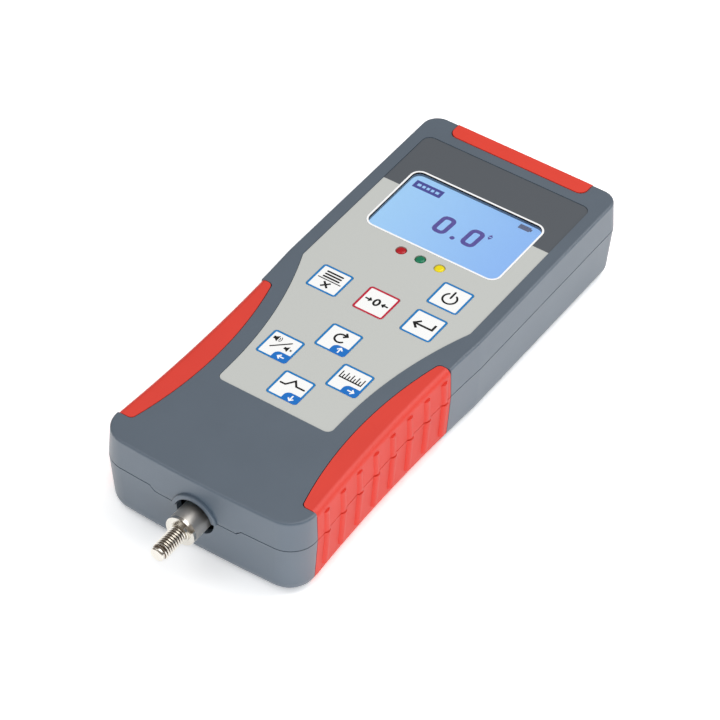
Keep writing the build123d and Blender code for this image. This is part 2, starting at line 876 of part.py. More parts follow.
# Sockets under the far end of the board, their mouths sunk behind the cap's face
mouth_plane = Plane.XZ.offset(socket_sink - end_y)
usb_z = board_under_z - usb_height / 2
jack_z = board_under_z - jack_height / 2
with BuildPart() as usb_socket:
    with BuildSketch(mouth_plane):
        with Locations((usb_x, usb_z)):
            Rectangle(usb_width, usb_height)
    extrude(amount=usb_length)
    with BuildSketch(mouth_plane):
        with Locations((usb_x, usb_z)):
            Rectangle(usb_width - 2 * usb_shell, usb_height - 2 * usb_shell)
            Rectangle(usb_width - 6 * usb_shell, usb_tongue, mode=Mode.SUBTRACT)
    extrude(amount=usb_depth, mode=Mode.SUBTRACT)
save(usb_socket, "usb_socket")

with BuildPart() as power_socket:
    with BuildSketch(mouth_plane):
        with Locations((jack_x, jack_z)):
            Rectangle(jack_width, jack_height)
    extrude(amount=jack_length)
    with BuildSketch(mouth_plane):
        with Locations((jack_x, jack_z)):
            Circle(jack_bore_radius)
            Circle(jack_pin_radius, mode=Mode.SUBTRACT)
    extrude(amount=jack_bore_depth, mode=Mode.SUBTRACT)
save(power_socket, "power_socket")

# Battery pack in its film, on the floor between the cradle walls
with BuildPart() as battery_pack:
    with BuildSketch(Plane.XZ.offset(-battery_near_y)):
        with Locations((0, floor_wall + battery_radius)):
            SlotOverall(2 * battery_count * battery_radius, 2 * battery_radius)
    extrude(amount=-battery_length)
save(battery_pack, "battery_pack")

battery_lead = lead_tube(
    (
        (battery_lead_x, battery_near_y, battery_lead_z),
        (battery_lead_x, battery_near_y - battery_lead_run, battery_lead_z),
        (battery_lead_x, battery_near_y - battery_lead_run, board_under_z),
    )
)
save(battery_lead, "battery_lead")

cell_cable = lead_tube(
    (
        (cell_half_width, cell_cable_y, rod_z),
        (cell_half_width + cell_cable_run, cell_cable_y, rod_z),
        (cell_half_width + cell_cable_run, cell_cable_y, board_under_z),
    )
)
save(cell_cable, "cell_cable")

# Metal chassis: base plate, upstand for the cell and four threaded bosses for a test stand
with BuildPart() as load_frame:
    with BuildSketch(Plane.XY.offset(frame_base_z)):
        with Locations((0, (frame_near_y + frame_far_y) / 2)):
            RectangleRounded(2 * frame_half_width, frame_far_y - frame_near_y, frame_corner)
        with Locations(*frame_screw_places):
            Circle(frame_screw_radius + screw_clearance, mode=Mode.SUBTRACT)
    extrude(amount=frame_plate)
    with BuildSketch(Plane.XY.offset(frame_base_z)):
        with Locations((0, cell_far_y)):
            Rectangle(2 * upstand_half_width, upstand_thickness, align=(Align.CENTER, Align.MIN))
    extrude(amount=cell_bottom_z + cell_height - frame_base_z)
    with BuildSketch(Plane.XY.offset(frame_base_z)):
        with Locations(*stand_places):
            Circle(stand_boss_radius)
    extrude(amount=stand_sink - frame_base_z)
    with BuildSketch(Plane.XY.offset(stand_sink)):
        with Locations(*stand_places):
            Circle(stand_thread_radius)
    extrude(amount=stand_thread_depth, mode=Mode.SUBTRACT)
    with BuildSketch(Plane.XZ.offset(-cell_far_y)):
        with Locations((0, rod_z)):
            Circle(spigot_radius + screw_clearance)
    extrude(amount=-upstand_thickness, mode=Mode.SUBTRACT)
save(load_frame, "load_frame")

with BuildPart() as frame_screws:
    for x, y in frame_screw_places:
        seat = Plane((x, y, frame_base_z + frame_plate), z_dir=(0, 0, 1))
        add(screw_body(seat, frame_screw_head, screw_head_height, frame_screw_radius, frame_screw_length))
save(frame_screws, "frame_screws")

# Load cell: two crossing slots and a double eye leave a beam that bends along the rod
cell_middle_y = (cell_near_y + cell_far_y) / 2
with BuildPart() as load_cell:
    with BuildSketch(Plane.XY.offset(cell_bottom_z)):
        with Locations((0, cell_middle_y)):
            Rectangle(2 * cell_half_width, cell_length)
        with Locations((cell_half_width, cell_near_y + cell_arm)):
            Rectangle(cell_slot_reach, cell_slot, align=(Align.MAX, Align.MIN), mode=Mode.SUBTRACT)
        with Locations((-cell_half_width, cell_far_y - cell_arm)):
            Rectangle(cell_slot_reach, cell_slot, align=(Align.MIN, Align.MAX), mode=Mode.SUBTRACT)
        with Locations((-cell_eye_pitch / 2, cell_middle_y), (cell_eye_pitch / 2, cell_middle_y)):
            Circle(cell_eye_radius, mode=Mode.SUBTRACT)
    extrude(amount=cell_height)
    with BuildSketch(Plane.XZ.offset(-cell_near_y)):
        with Locations((0, rod_z)):
            Circle(spigot_radius + fit_clearance)
    extrude(amount=-cell_arm, mode=Mode.SUBTRACT)
    with BuildSketch(Plane.XZ.offset(-cell_far_y)):
        with Locations((0, rod_z)):
            Circle(spigot_radius + fit_clearance)
    extrude(amount=cell_arm, mode=Mode.SUBTRACT)
save(load_cell, "load_cell")

bolt_seat = Plane((0, cell_far_y + upstand_thickness, rod_z), z_dir=(0, 1, 0))
with BuildPart() as cell_bolt:
    add(
        screw_body(
            bolt_seat,
            cell_bolt_head,
            cell_bolt_head_height,
            spigot_radius,
            upstand_thickness + cell_bolt_bite,
        )
    )
save(cell_bolt, "cell_bolt")

# Measuring rod: its spigot enters the cell, and its front end is bored for the adapter
rod_front = Plane.XZ.offset(-rod_front_y)
rod_length = cell_near_y - rod_travel - rod_stop_gap - rod_front_y
with BuildPart() as measuring_rod:
    with BuildSketch(rod_front):
        with Locations((0, rod_z)):
            Circle(rod_radius)
    extrude(amount=-rod_length)
    with BuildSketch(rod_front):
        with Locations((0, rod_z)):
            Circle(spigot_radius)
    extrude(amount=-rod_length - spigot_length)
    with BuildSketch(rod_front):
        with Locations((0, rod_z)):
            Circle(spigot_radius + fit_clearance)
    extrude(amount=-spigot_length - rod_stop_gap, mode=Mode.SUBTRACT)
save(measuring_rod, "measuring_rod")

# Adapter: flange with two spanner slots, relief groove and stud; its spigot sits in the rod
with BuildPart() as rod_adapter:
    with BuildSketch(rod_front):
        with Locations((0, rod_z)):
            Circle(flange_radius)
            with PolarLocations(flange_radius, 2, start_angle=flange_slot_angle):
                Rectangle(2 * flange_slot_depth, flange_slot_width, mode=Mode.SUBTRACT)
    extrude(amount=flange_thickness)
    with BuildSketch(rod_front):
        with Locations((0, rod_z)):
            Circle(spigot_radius)
    extrude(amount=-spigot_length)
    with BuildSketch(rod_front.offset(flange_thickness)):
        with Locations((0, rod_z)):
            Circle(stud_relief_radius)
    extrude(amount=stud_relief)
    with BuildSketch(rod_front.offset(flange_thickness + stud_relief)):
        with Locations((0, rod_z)):
            Circle(stud_radius)
    extrude(amount=stud_length - stud_relief)
    chamfer(rod_adapter.faces().sort_by(Axis.Y)[0].edges(), stud_chamfer)
save(rod_adapter, "rod_adapter")

# Screws that close the housing from the back
with BuildPart() as housing_screws:
    for x, y in post_places:
        seat = Plane((x, y, housing_head_depth), z_dir=(0, 0, -1))
        add(
            screw_body(
                seat, housing_screw_head, screw_head_height, housing_screw_radius, housing_screw_length
            )
        )
save(housing_screws, "housing_screws")
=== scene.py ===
import json
import math

import bmesh
import bpy
from mathutils import Euler, Matrix, Vector


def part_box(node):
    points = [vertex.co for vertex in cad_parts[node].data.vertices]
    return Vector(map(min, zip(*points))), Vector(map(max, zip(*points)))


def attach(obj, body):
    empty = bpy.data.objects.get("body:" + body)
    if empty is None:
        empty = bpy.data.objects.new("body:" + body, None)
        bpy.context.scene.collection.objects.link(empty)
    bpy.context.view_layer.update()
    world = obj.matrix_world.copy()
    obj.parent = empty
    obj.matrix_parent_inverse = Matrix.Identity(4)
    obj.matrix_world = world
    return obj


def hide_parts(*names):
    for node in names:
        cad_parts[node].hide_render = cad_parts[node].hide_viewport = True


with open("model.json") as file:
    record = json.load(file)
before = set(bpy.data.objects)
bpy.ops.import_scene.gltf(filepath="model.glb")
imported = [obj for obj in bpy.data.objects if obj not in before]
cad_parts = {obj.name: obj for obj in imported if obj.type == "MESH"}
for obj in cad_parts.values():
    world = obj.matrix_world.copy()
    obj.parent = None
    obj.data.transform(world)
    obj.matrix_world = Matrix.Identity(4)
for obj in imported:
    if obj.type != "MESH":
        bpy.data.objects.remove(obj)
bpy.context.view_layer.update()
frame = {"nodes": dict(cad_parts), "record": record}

# Every size below is in millimetres of the real force gauge; MM turns it into Blender's metres.
MM = 0.001

# Camera of the photograph, its turn in degrees
camera_place = (429.24, -656.25, 769.39)
camera_turn = (45.878, -1.148, 34.289)
camera_lens = 170.09
camera_sensor = 36.0
camera_shift = (-0.0111, 0.0003)

# Levels and places read from the frame
key_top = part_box("key_zero")[1].z / MM
key_half = (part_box("key_zero")[1].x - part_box("key_zero")[0].x) / 2 / MM
glass_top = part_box("lcd_glass")[1].z / MM
display_frame_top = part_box("lcd_frame")[1].z / MM
window_low, window_high = (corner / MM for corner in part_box("display_window"))
adapter_low, adapter_high = (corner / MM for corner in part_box("rod_adapter"))

# Printing on the foil and round the window
ink_depth = 0.02
round_steps = 6
header_y = 55.9
window_line = 0.68
window_corner = 3.8

# Printing on the keys, measured from each key's middle
border_width = 0.72
key_corner = 1.1
stroke_width = 0.7
thin_width = 0.5
fine_width = 0.26
tab_left = -0.15
tab_top = -1.85
tab_corner = 1.9
tab_arrow_y = -3.8
tab_arrow_reach = 1.15
tab_arrow_head = 0.95

# What the display shows; its glass deepens in colour from glass_half left of the middle to as far right
glass_half = 26.0
digit_height = 8.9
digit_width = 5.4
digit_stroke = 1.55
digit_slant = 0.05
digit_x = (-3.8, 7.3)
digit_y = 49.2
point_place = (1.7, 45.5)
point_radius = 0.85
mark_place = (11.7, 52.9)
battery_place = (18.4, 63.3)
label_place = (-17.8, 61.0)
label_half = (5.4, 1.8)
label_row_half = (4.2, 0.6)
label_bar_half = 0.3
label_bar_spacing = 1.68
# Painted shadow along the display's far edge: its middle's y and its half size
painted_shadow_y = 66.3
painted_shadow_half = (24.6, 0.75)

# Stud and its M6 thread; the core is a little thinner than a real one, so that the turns show
stud_radius = 3.0
stud_core = 2.25
stud_reach = 12.0
thread_length = 11.3
thread_pitch = 1.0
thread_steps = 40
root_share = 0.45
root_flat = 0.1
crest_flat = 0.03
fade_slope = 0.9
smooth_end = 1.2
end_radius = 2.55
end_bevel = 0.1
end_rounding = 0.7
rounding_steps = 6
neck_overlap = 0.2
shoulder_radius = 3.5
shoulder_length = 0.9
turned_steps = 48

# Points closer than these are merged: in the wound thread, in turned parts and in every finished piece
thread_merge = 1e-3
turned_merge = 1e-4
piece_merge = 1e-5

# Floor: its level under the gauge, and its brightness to bounced light, in reflections and to the camera
floor_size = 4000
floor_drop = 0.05
floor_matt = 0.62
floor_mirrored = 1.3
floor_seen = 1.52

# Surroundings: strength of the pale light, and the dim warm room that shows in reflections
pale_strength = 0.45
room_colour = (0.22, 0.2, 0.18, 1)


def linear(code):
    """An sRGB hex colour as linear red, green, blue and alpha."""
    parts = [int(code[start:start + 2], 16) / 255 for start in (1, 3, 5)]
    return [part / 12.92 if part <= 0.04045 else ((part + 0.055) / 1.055) ** 2.4 for part in parts] + [1.0]


def add_node(tree, kind, settings=None, inputs=None):
    """Adds a node, gives it its settings, and gives its sockets values or links."""
    made = tree.nodes.new(kind)
    for name, value in (settings or {}).items():
        setattr(made, name, value)
    for name, value in (inputs or {}).items():
        if isinstance(value, bpy.types.NodeSocket):
            tree.links.new(value, made.inputs[name])
        else:
            made.inputs[name].default_value = value
    return made


def new_material(name, colour, roughness, sockets=None):
    """A material with the fixed values on its shader; gives the material, its tree and the shader."""
    material = bpy.data.materials.new(name)
    material.use_nodes = True
    tree = material.node_tree
    shader = tree.nodes["Principled BSDF"]
    shader.inputs["Base Color"].default_value = linear(colour)
    shader.inputs["Roughness"].default_value = roughness
    for socket, value in (sockets or {}).items():
        shader.inputs[socket].default_value = value
    return material, tree, shader


def add_grain(tree, shader, size, depth, detail=2.0, stretch=(1, 1, 1)):
    """Bump from noise whose grains are size wide and depth deep, in millimetres."""
    place = add_node(tree, "ShaderNodeTexCoord").outputs["Object"]
    turned = add_node(tree, "ShaderNodeMapping", inputs={"Vector": place, "Scale": stretch})
    noise = add_node(
        tree,
        "ShaderNodeTexNoise",
        inputs={"Vector": turned.outputs["Vector"], "Scale": 1 / (size * MM), "Detail": detail},
    )
    bump = add_node(
        tree, "ShaderNodeBump", inputs={"Height": noise.outputs["Fac"], "Distance": depth * MM}
    )
    tree.links.new(bump.outputs["Normal"], shader.inputs["Normal"])


def add_mottle(tree, shader, light, dark, size):
    """Slow change between two near colours over size millimetres."""
    place = add_node(tree, "ShaderNodeTexCoord").outputs["Object"]
    noise = add_node(
        tree, "ShaderNodeTexNoise", inputs={"Vector": place, "Scale": 1 / (size * MM), "Detail": 3.0}
    )
    ramp = add_node(tree, "ShaderNodeValToRGB", inputs={"Fac": noise.outputs["Fac"]})
    for element, position, colour in zip(ramp.color_ramp.elements, (0.35, 0.65), (dark, light)):
        element.position = position
        element.color = linear(colour)
    tree.links.new(ramp.outputs["Color"], shader.inputs["Base Color"])


def moulded(name, light, dark, roughness, grain, depth, sheen=0.5, coat=0.0):
    """A moulded plastic with the grain of its tool and a barely uneven colour in wide patches."""
    sockets = {"Specular IOR Level": sheen, "Coat Weight": coat, "Coat Roughness": roughness}
    material, tree, shader = new_material(name, light, roughness, sockets)
    add_mottle(tree, shader, light, dark, size=18.0)
    add_grain(tree, shader, grain, depth)
    return material


def printed_foil():
    """Matt screen-printed polyester: light grey ground with a dark band across the display's far half."""
    ground, band = "#C6C8C4", "#565B61"
    material, tree, shader = new_material("matt printed polyester foil", ground, 0.42)
    place = add_node(tree, "ShaderNodeTexCoord").outputs["Object"]
    axes = add_node(tree, "ShaderNodeSeparateXYZ", inputs={"Vector": place})
    beyond = add_node(
        tree, "ShaderNodeMath", {"operation": "GREATER_THAN"}, {0: axes.outputs["Y"], 1: header_y * MM}
    )
    mix = add_node(
        tree,
        "ShaderNodeMix",
        {"data_type": "RGBA"},
        {"Factor": beyond.outputs["Value"], 6: linear(ground), 7: linear(band)},
    )
    tree.links.new(mix.outputs[2], shader.inputs["Base Color"])
    add_grain(tree, shader, 0.35, 0.004)
    return material


def printing_ink(name, colour):
    """A flat coat of screen-printing ink, a little glossier than the foil."""
    material, tree, shader = new_material(name, colour, 0.38)
    add_grain(tree, shader, 0.3, 0.003)
    return material


def clear_window():
    """Clear polycarbonate sheet, polished flat."""
    sockets = {"Transmission Weight": 1.0, "IOR": 1.45, "Specular IOR Level": 0.3}
    return new_material("clear polycarbonate window", "#FFFFFF", 0.02, sockets)[0]


def lit_segment(name, colour):
    """Display segment: shows its own colour against the light behind it."""
    material, tree, shader = new_material(name, "#101018", 0.4, {"Emission Strength": 0.85})
    shader.inputs["Emission Color"].default_value = linear(colour)
    add_grain(tree, shader, 0.4, 0.002)
    return material


def lit_glass():
    """Blue display glass lit from behind, a little deeper in colour towards its right side."""
    material, tree, shader = new_material(
        "backlit display glass", "#20324C", 0.35, {"Emission Strength": 0.95}
    )
    place = add_node(tree, "ShaderNodeTexCoord").outputs["Object"]
    axes = add_node(tree, "ShaderNodeSeparateXYZ", inputs={"Vector": place})
    across = add_node(
        tree,
        "ShaderNodeMapRange",
        inputs={"Value": axes.outputs["X"], "From Min": -glass_half * MM, "From Max": glass_half * MM},
    )
    ramp = add_node(tree, "ShaderNodeValToRGB", inputs={"Fac": across.outputs["Result"]})
    ramp.color_ramp.elements[0].color = linear("#A6D6FF")
    ramp.color_ramp.elements[1].color = linear("#90BEFC")
    tree.links.new(ramp.outputs["Color"], shader.inputs["Emission Color"])
    return material


def turned_steel(name, colour, roughness, mark, depth):
    """Stainless steel turned on a lathe: fine rings round the rod's axis."""
    material, tree, shader = new_material(name, colour, roughness, {"Metallic": 1.0})
    add_grain(tree, shader, mark, depth, detail=1.0, stretch=(0.02, 1.0, 0.02))
    return material


def plain_metal(name, colour, roughness, grain):
    """Plated or milled metal with a fine grain."""
    material, tree, shader = new_material(name, colour, roughness, {"Metallic": 1.0})
    add_grain(tree, shader, grain, 0.004)
    return material


def lamp_lens(name, colour):
    """Diffused epoxy lens, evenly coloured through, with a soft gloss."""
    sockets = {"Subsurface Weight": 0.2, "Subsurface Radius": (MM, MM, MM)}
    material, tree, shader = new_material(name, colour, 0.3, sockets)
    add_grain(tree, shader, 0.6, 0.004)
    return material


def circuit_board():
    """Green solder resist over copper tracks that show as slightly lighter lines."""
    material, tree, shader = new_material("green solder resist", "#1C6A3C", 0.35)
    place = add_node(tree, "ShaderNodeTexCoord").outputs["Object"]
    bricks = add_node(
        tree,
        "ShaderNodeTexBrick",
        {"offset": 0.37, "squash": 0.6},
        {
            "Vector": place,
            "Color1": linear("#1C6A3C"),
            "Color2": linear("#1F7242"),
            "Mortar": linear("#2B8650"),
            "Scale": 1 / (12 * MM),
            "Mortar Size": 0.03,
        },
    )
    tree.links.new(bricks.outputs["Color"], shader.inputs["Base Color"])
    return material


# Finishes, one for each real material. The grain of a moulded or plated skin is finer than the picture
# can show, so it is drawn a few times coarser. The marks on turned steel keep a lathe's real feed of
# about a tenth of a millimetre, which shows only as a softer gloss.
finishes = {
    # Textured ABS: the tool's spark-eroded skin gives an even, matt slate grey
    "housing": moulded("textured slate ABS", "#4D5D6D", "#4A5A6A", 0.5, 0.45, 0.006, sheen=1.0, coat=1.0),
    # Soft-touch elastomer: satin red with no sharp highlights
    "grip": moulded("soft-touch red elastomer", "#E2301A", "#DE2E18", 0.5, 0.4, 0.005, sheen=0.9),
    # Red ABS of the end cap, a little smoother than the grips
    "cap": moulded("satin red ABS", "#E83822", "#E43620", 0.45, 0.4, 0.004, sheen=0.8),
    # Printed polyester film: flat, matt and even
    "foil": printed_foil(),
    # Polished polycarbonate: clear, with a thin sharp reflection
    "window": clear_window(),
    # The same film as the foil, printed white
    "key_face": printing_ink("white printed polyester", "#FBFBFA"),
    # Laminated polyester of the switch sheet, milky beige
    "switch_sheet": moulded("laminated switch sheet", "#D8C9A0", "#D2C398", 0.5, 0.5, 0.004),
    # Stamped sheet steel: bright, with highlights barely blurred
    "spring_steel": plain_metal("stamped spring steel", "#C8CACC", 0.3, 0.3),
    # Polyimide ribbon: amber and glossy
    "ribbon": moulded("amber polyimide ribbon", "#B06A20", "#A8641E", 0.3, 0.6, 0.003),
    # White moulded light guide: bright and satin
    "display_frame": moulded("white light guide frame", "#E4E4E0", "#DEDEDA", 0.5, 0.5, 0.004),
    # Display glass over a lamp: it glows evenly and hides what lies behind it
    "display_glass": lit_glass(),
    # Solder resist over copper: satin green with paler lines
    "board": circuit_board(),
    # Filled epoxy of the chips: dull near-black
    "chip": moulded("black moulding compound", "#1C1C1E", "#202022", 0.6, 0.25, 0.006),
    # Zinc plate on steel: pale grey with a soft gloss
    "screw": plain_metal("zinc-plated screw steel", "#B8BABC", 0.32, 0.25),
    # Black moulded plastic: satin, so that its edges still catch light
    "black_plastic": moulded("black moulded plastic", "#161618", "#1A1A1C", 0.5, 0.4, 0.006),
    # Tinted epoxy lenses: deep, even colour under a soft gloss
    "lamp_red": lamp_lens("red lamp lens", "#B5121E"),
    "lamp_green": lamp_lens("green lamp lens", "#0E7A56"),
    "lamp_yellow": lamp_lens("yellow lamp lens", "#F0DC00"),
    # Tin plate: bright, nearly white metal
    "socket_metal": plain_metal("tin-plated socket shell", "#D0D2D4", 0.25, 0.4),
    # Shrink film: blue and glossy, lightly wrinkled
    "battery_film": moulded("blue shrink film", "#2A4C9A", "#264690", 0.3, 1.2, 0.01),
    # Flexible vinyl of the leads: satin and evenly coloured
    "lead_red": moulded("red lead insulation", "#B02020", "#A81E1E", 0.45, 0.5, 0.004),
    "lead_grey": moulded("grey cable sheath", "#6A6E72", "#66696D", 0.5, 0.5, 0.004),
    # Milled aluminium: pale grey, its cutter marks blur what it mirrors
    "chassis": plain_metal("milled aluminium chassis", "#B4B8BC", 0.38, 0.5),
    # Clear anodised aluminium: pale and silky
    "cell_metal": plain_metal("anodised aluminium cell", "#D0D2D4", 0.35, 0.3),
    # Turned stainless steel: warm pale grey with broad streaks of light along the rod
    "rod_steel": turned_steel("turned stainless steel", "#E6E1DA", 0.42, 0.12, 0.015),
}
# The thread and its flange are turned with a sharp tool, so their marks are finer than the rod's
thread_steel = turned_steel("fine turned stainless steel", "#E4E0D8", 0.22, 0.1, 0.003)
# Painted shade: the thread's roots get a darker steel colour that stands for the shade between its turns
painted_root_shade_steel = turned_steel("thread root steel with painted shade", "#76675A", 0.4, 0.1, 0.003)
# Screen-printing inks: flat and even, with a soft gloss
ink_blue = printing_ink("blue border ink", "#0A7CC2")
ink_tab = printing_ink("blue tab ink", "#0870C8")
ink_red = printing_ink("red border ink", "#C41238")
ink_black = printing_ink("black legend ink", "#101114")
ink_white = printing_ink("white line ink", "#FFFFFF")
# Display segments: darker blues and violets against the lit glass
digit_ink = lit_segment("display digit segment", "#5C52A6")
label_ink = lit_segment("display label segment", "#4749A2")
battery_ink = lit_segment("display battery segment", "#667090")
# Painted shadow, not a segment: the dark band along the display's far edge, drawn with the glowing segment
# shader
painted_edge_shadow_ink = lit_segment("display edge painted shadow", "#4548A0")

# Every CAD node gets its finish
for row in frame["record"]["subparts"]:
    node = frame["nodes"][row["node"]]
    node.data.materials.clear()
    node.data.materials.append(finishes[row["material_slot"]])


def rounded_outline(centre, half, corners, steps=8):
    """Points of a rectangle, anticlockwise; corners is one radius or one each from the upper right on."""
    points = []
    signs = ((1, 1), (-1, 1), (-1, -1), (1, -1))
    radii = corners if isinstance(corners, tuple) else (corners,) * 4
    for index, ((sign_x, sign_y), radius) in enumerate(zip(signs, radii)):
        turn_x = centre[0] + sign_x * (half[0] - radius)
        turn_y = centre[1] + sign_y * (half[1] - radius)
        for step in range(steps + 1 if radius else 1):
            angle = (index + step / steps) * math.pi / 2
            points.append((turn_x + radius * math.cos(angle), turn_y + radius * math.sin(angle)))
    return points


def arc_points(centre, radius, start, end, steps):
    """Points of an arc between two angles in degrees; radius may differ in x and y."""
    reach_x, reach_y = radius if isinstance(radius, tuple) else (radius, radius)
    angles = [math.radians(start + (end - start) * step / steps) for step in range(steps + 1)]
    return [(centre[0] + reach_x * math.cos(a), centre[1] + reach_y * math.sin(a)) for a in angles]


def ring_points(centre, radius, count):
    """Points all round a circle, or round an ellipse where radius differs in x and y."""
    return arc_points(centre, radius, 0, 360 * (count - 1) / count, count - 1)


def add_loop(bm, points):
    """Closed loop of edges through the points, at z = 0."""
    verts = [bm.verts.new((x, y, 0)) for x, y in points]
    return [bm.edges.new((verts[index - 1], verts[index])) for index in range(len(verts))]


def add_ring(bm, outer, inner):
    """Flat band between two outlines with the same number of points."""
    edges = add_loop(bm, outer) + add_loop(bm, inner)
    bmesh.ops.bridge_loops(bm, edges=edges)


def add_patch(bm, points):
    """Flat face inside an outline."""
    bmesh.ops.contextual_create(bm, geom=add_loop(bm, points))


def offset_line(points, reach, closed=False):
    """The line moved sideways by reach, to its left where reach is positive, with mitred corners."""
    moved = []
    last = len(points) - 1
    for index, point in enumerate(points):
        before = points[index - 1] if index or closed else None
        after = points[(index + 1) % len(points)] if index < last or closed else None
        sides = []
        for start, end in ((before, point), (point, after)):
            if start and end:
                along = (Vector(end) - Vector(start)).normalized()
                sides.append(Vector((-along.y, along.x)))
        middle = sum(sides, Vector((0, 0))).normalized()
        moved.append(tuple(Vector(point) + middle * reach / middle.dot(sides[0])))
    return moved


def add_stroke(bm, points, width, closed=False):
    """Line of even width through the points: a band where closed, else with round ends."""
    reach = width / 2
    left = offset_line(points, reach, closed)
    right = offset_line(points, -reach, closed)
    if closed:
        add_ring(bm, left, right)
        return
    first, last = (Vector(b) - Vector(a) for a, b in (points[:2], points[-2:]))
    start_angle = math.degrees(math.atan2(first.y, first.x))
    end_angle = math.degrees(math.atan2(last.y, last.x))
    end_round = arc_points(points[-1], reach, end_angle + 90, end_angle - 90, round_steps)
    start_round = arc_points(points[0], reach, start_angle - 90, start_angle - 270, round_steps)
    add_patch(bm, left[:-1] + end_round + right[-2:0:-1] + start_round)


def add_arrow(bm, points, head, width):
    """Line of even width through the points with an open arrow head at the last one."""
    reach = width / 2
    slope = reach / math.sqrt(2)
    tip = Vector(points[-1])
    along = (tip - Vector(points[-2])).normalized()
    side = Vector((-along.y, along.x))
    neck = tip - along * (2 * slope + reach)
    shaft = points[:-1] + [tuple(neck)]
    corners = (
        (-head - slope, head - slope),
        (-head + slope, head + slope),
        (2 * slope, 0),
        (-head + slope, -head - slope),
        (-head - slope, -head + slope),
    )
    head_points = [tuple(tip + along * ahead + side * across) for ahead, across in corners]
    add_patch(bm, offset_line(shaft, reach) + head_points + offset_line(shaft, -reach)[::-1])


def add_cross(bm, centre, size, width):
    """Diagonal cross whose arms reach size from its centre."""
    reach = width / 2
    points = []
    for turn in range(4):
        quarter = Matrix.Rotation(math.radians(45 + 90 * turn), 2)
        for spot in ((size, -reach), (size, reach), (reach, reach)):
            points.append(tuple(Vector(centre) + quarter @ Vector(spot)))
    add_patch(bm, points)


def new_object(bm, name, material):
    """Turns a bmesh in millimetres into an object in metres and frees it."""
    bmesh.ops.scale(bm, vec=(MM, MM, MM), verts=bm.verts)
    mesh = bpy.data.meshes.new(name)
    bm.to_mesh(mesh)
    bm.free()
    mesh.materials.append(material)
    made = bpy.data.objects.new(name, mesh)
    bpy.context.scene.collection.objects.link(made)
    return made


def finish_piece(bm, name, body, material, replaces=()):
    """Turns a bmesh into a piece that rides on a body."""
    bmesh.ops.remove_doubles(bm, verts=bm.verts, dist=piece_merge)
    bmesh.ops.recalc_face_normals(bm, faces=bm.faces)
    piece = new_object(bm, name, material)
    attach(piece, body)
    if replaces:
        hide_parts(*replaces)
    return piece


def print_piece(draw, name, body, material, place, layer=1):
    """A printed shape: draw fills a bmesh at z = 0, which gets its layers' thickness and its place."""
    bm = bmesh.new()
    draw(bm)
    flat = bmesh.ops.extrude_face_region(bm, geom=bm.faces[:])
    raised = [item for item in flat["geom"] if isinstance(item, bmesh.types.BMVert)]
    bmesh.ops.translate(bm, verts=raised, vec=(0, 0, ink_depth * layer))
    bmesh.ops.translate(bm, verts=bm.verts, vec=place)
    finish_piece(bm, name, body, material)


def draw_border(bm):
    """Coloured line round a key."""
    inner = key_half - border_width
    add_ring(
        bm,
        rounded_outline((0, 0), (key_half, key_half), key_corner),
        rounded_outline((0, 0), (inner, inner), key_corner - border_width),
    )


def draw_tab(bm):
    """Blue field in the lower right corner of an arrow key."""
    centre = ((tab_left + key_half) / 2, (tab_top - key_half) / 2)
    half = ((key_half - tab_left) / 2, (tab_top + key_half) / 2)
    add_patch(bm, rounded_outline(centre, half, (0, tab_corner, 0, key_corner)))


def draw_tab_arrow(bm, angle):
    """Arrow in the blue field; angle 0 points right."""
    middle = Vector(((tab_left + key_half) / 2, tab_arrow_y))
    reach = Matrix.Rotation(math.radians(angle), 2) @ Vector((tab_arrow_reach, 0))
    add_arrow(bm, [tuple(middle - reach), tuple(middle + reach)], tab_arrow_head, thin_width)


def draw_menu(bm):
    """List above a dividing line, cross below it."""
    line_y, line_half, line_width = -0.25, 4.2, 0.4
    list_half = 2.9
    add_stroke(bm, [(-line_half, line_y), (line_half, line_y)], line_width)
    for level in (0.85, 2.1, 3.35):
        add_stroke(bm, [(-list_half, level), (list_half, level)], stroke_width)
    add_cross(bm, (0, -2.4), 1.75, stroke_width)


def draw_zero(bm):
    """Digit nought between two arrows."""
    middle_y, points_round = 0.2, 32
    arrow_start, arrow_tip, arrow_head, arrow_width = 4.3, 2.1, 0.8, 0.6
    add_ring(
        bm,
        ring_points((0, middle_y), (1.28, 1.75), points_round),
        ring_points((0, middle_y), (0.5, 1.0), points_round),
    )
    for side in (-1, 1):
        way = [(side * arrow_start, middle_y), (side * arrow_tip, middle_y)]
        add_arrow(bm, way, arrow_head, arrow_width)


def draw_enter(bm):
    """Arrow that drops and turns back."""
    right, left, top, low = 3.4, -3.3, 2.2, -0.4
    add_arrow(bm, [(right, top), (right, low), (left, low)], head=1.8, width=0.8)


def draw_power(bm):
    """Open ring with an upright bar."""
    add_stroke(bm, arc_points((0, -0.3), 2.4, 125, 415, 30), stroke_width)
    add_stroke(bm, [(0, 0.1), (0, 3.2)], stroke_width)


def draw_speaker(bm, centre, size):
    """Loudspeaker symbol: a box on the left and a horn that opens to the right."""
    box_side = 0.42 * size
    x, y = centre
    outline = [
        (x - size, y - box_side),
        (x - 0.45 * size, y - box_side),
        (x + 0.25 * size, y - size),
        (x + 0.25 * size, y + size),
        (x - 0.45 * size, y + box_side),
        (x - size, y + box_side),
    ]
    add_patch(bm, outline)


def draw_sound(bm):
    """Loudspeaker, dividing stroke and silent loudspeaker."""
    sounding, silent = (-2.9, 2.6), (2.5, 0.3)
    draw_speaker(bm, sounding, 1.4)
    for reach in (0.95, 1.55):
        add_stroke(bm, arc_points(sounding, reach, -42, 42, 8), fine_width)
    add_stroke(bm, [(-2.9, -1.5), (2.3, 3.2)], thin_width)
    draw_speaker(bm, silent, 1.25)
    add_cross(bm, (silent[0] + 1.25, silent[1]), 0.5, fine_width)


def draw_reset(bm):
    """Arrow that runs round in a circle."""
    sweep = arc_points((0, 1.0), 1.9, 330, 95, 24)
    tip = (sweep[-1][0] + 1.7, sweep[-1][1] - 0.1)
    add_arrow(bm, sweep + [tip], 1.1, stroke_width)


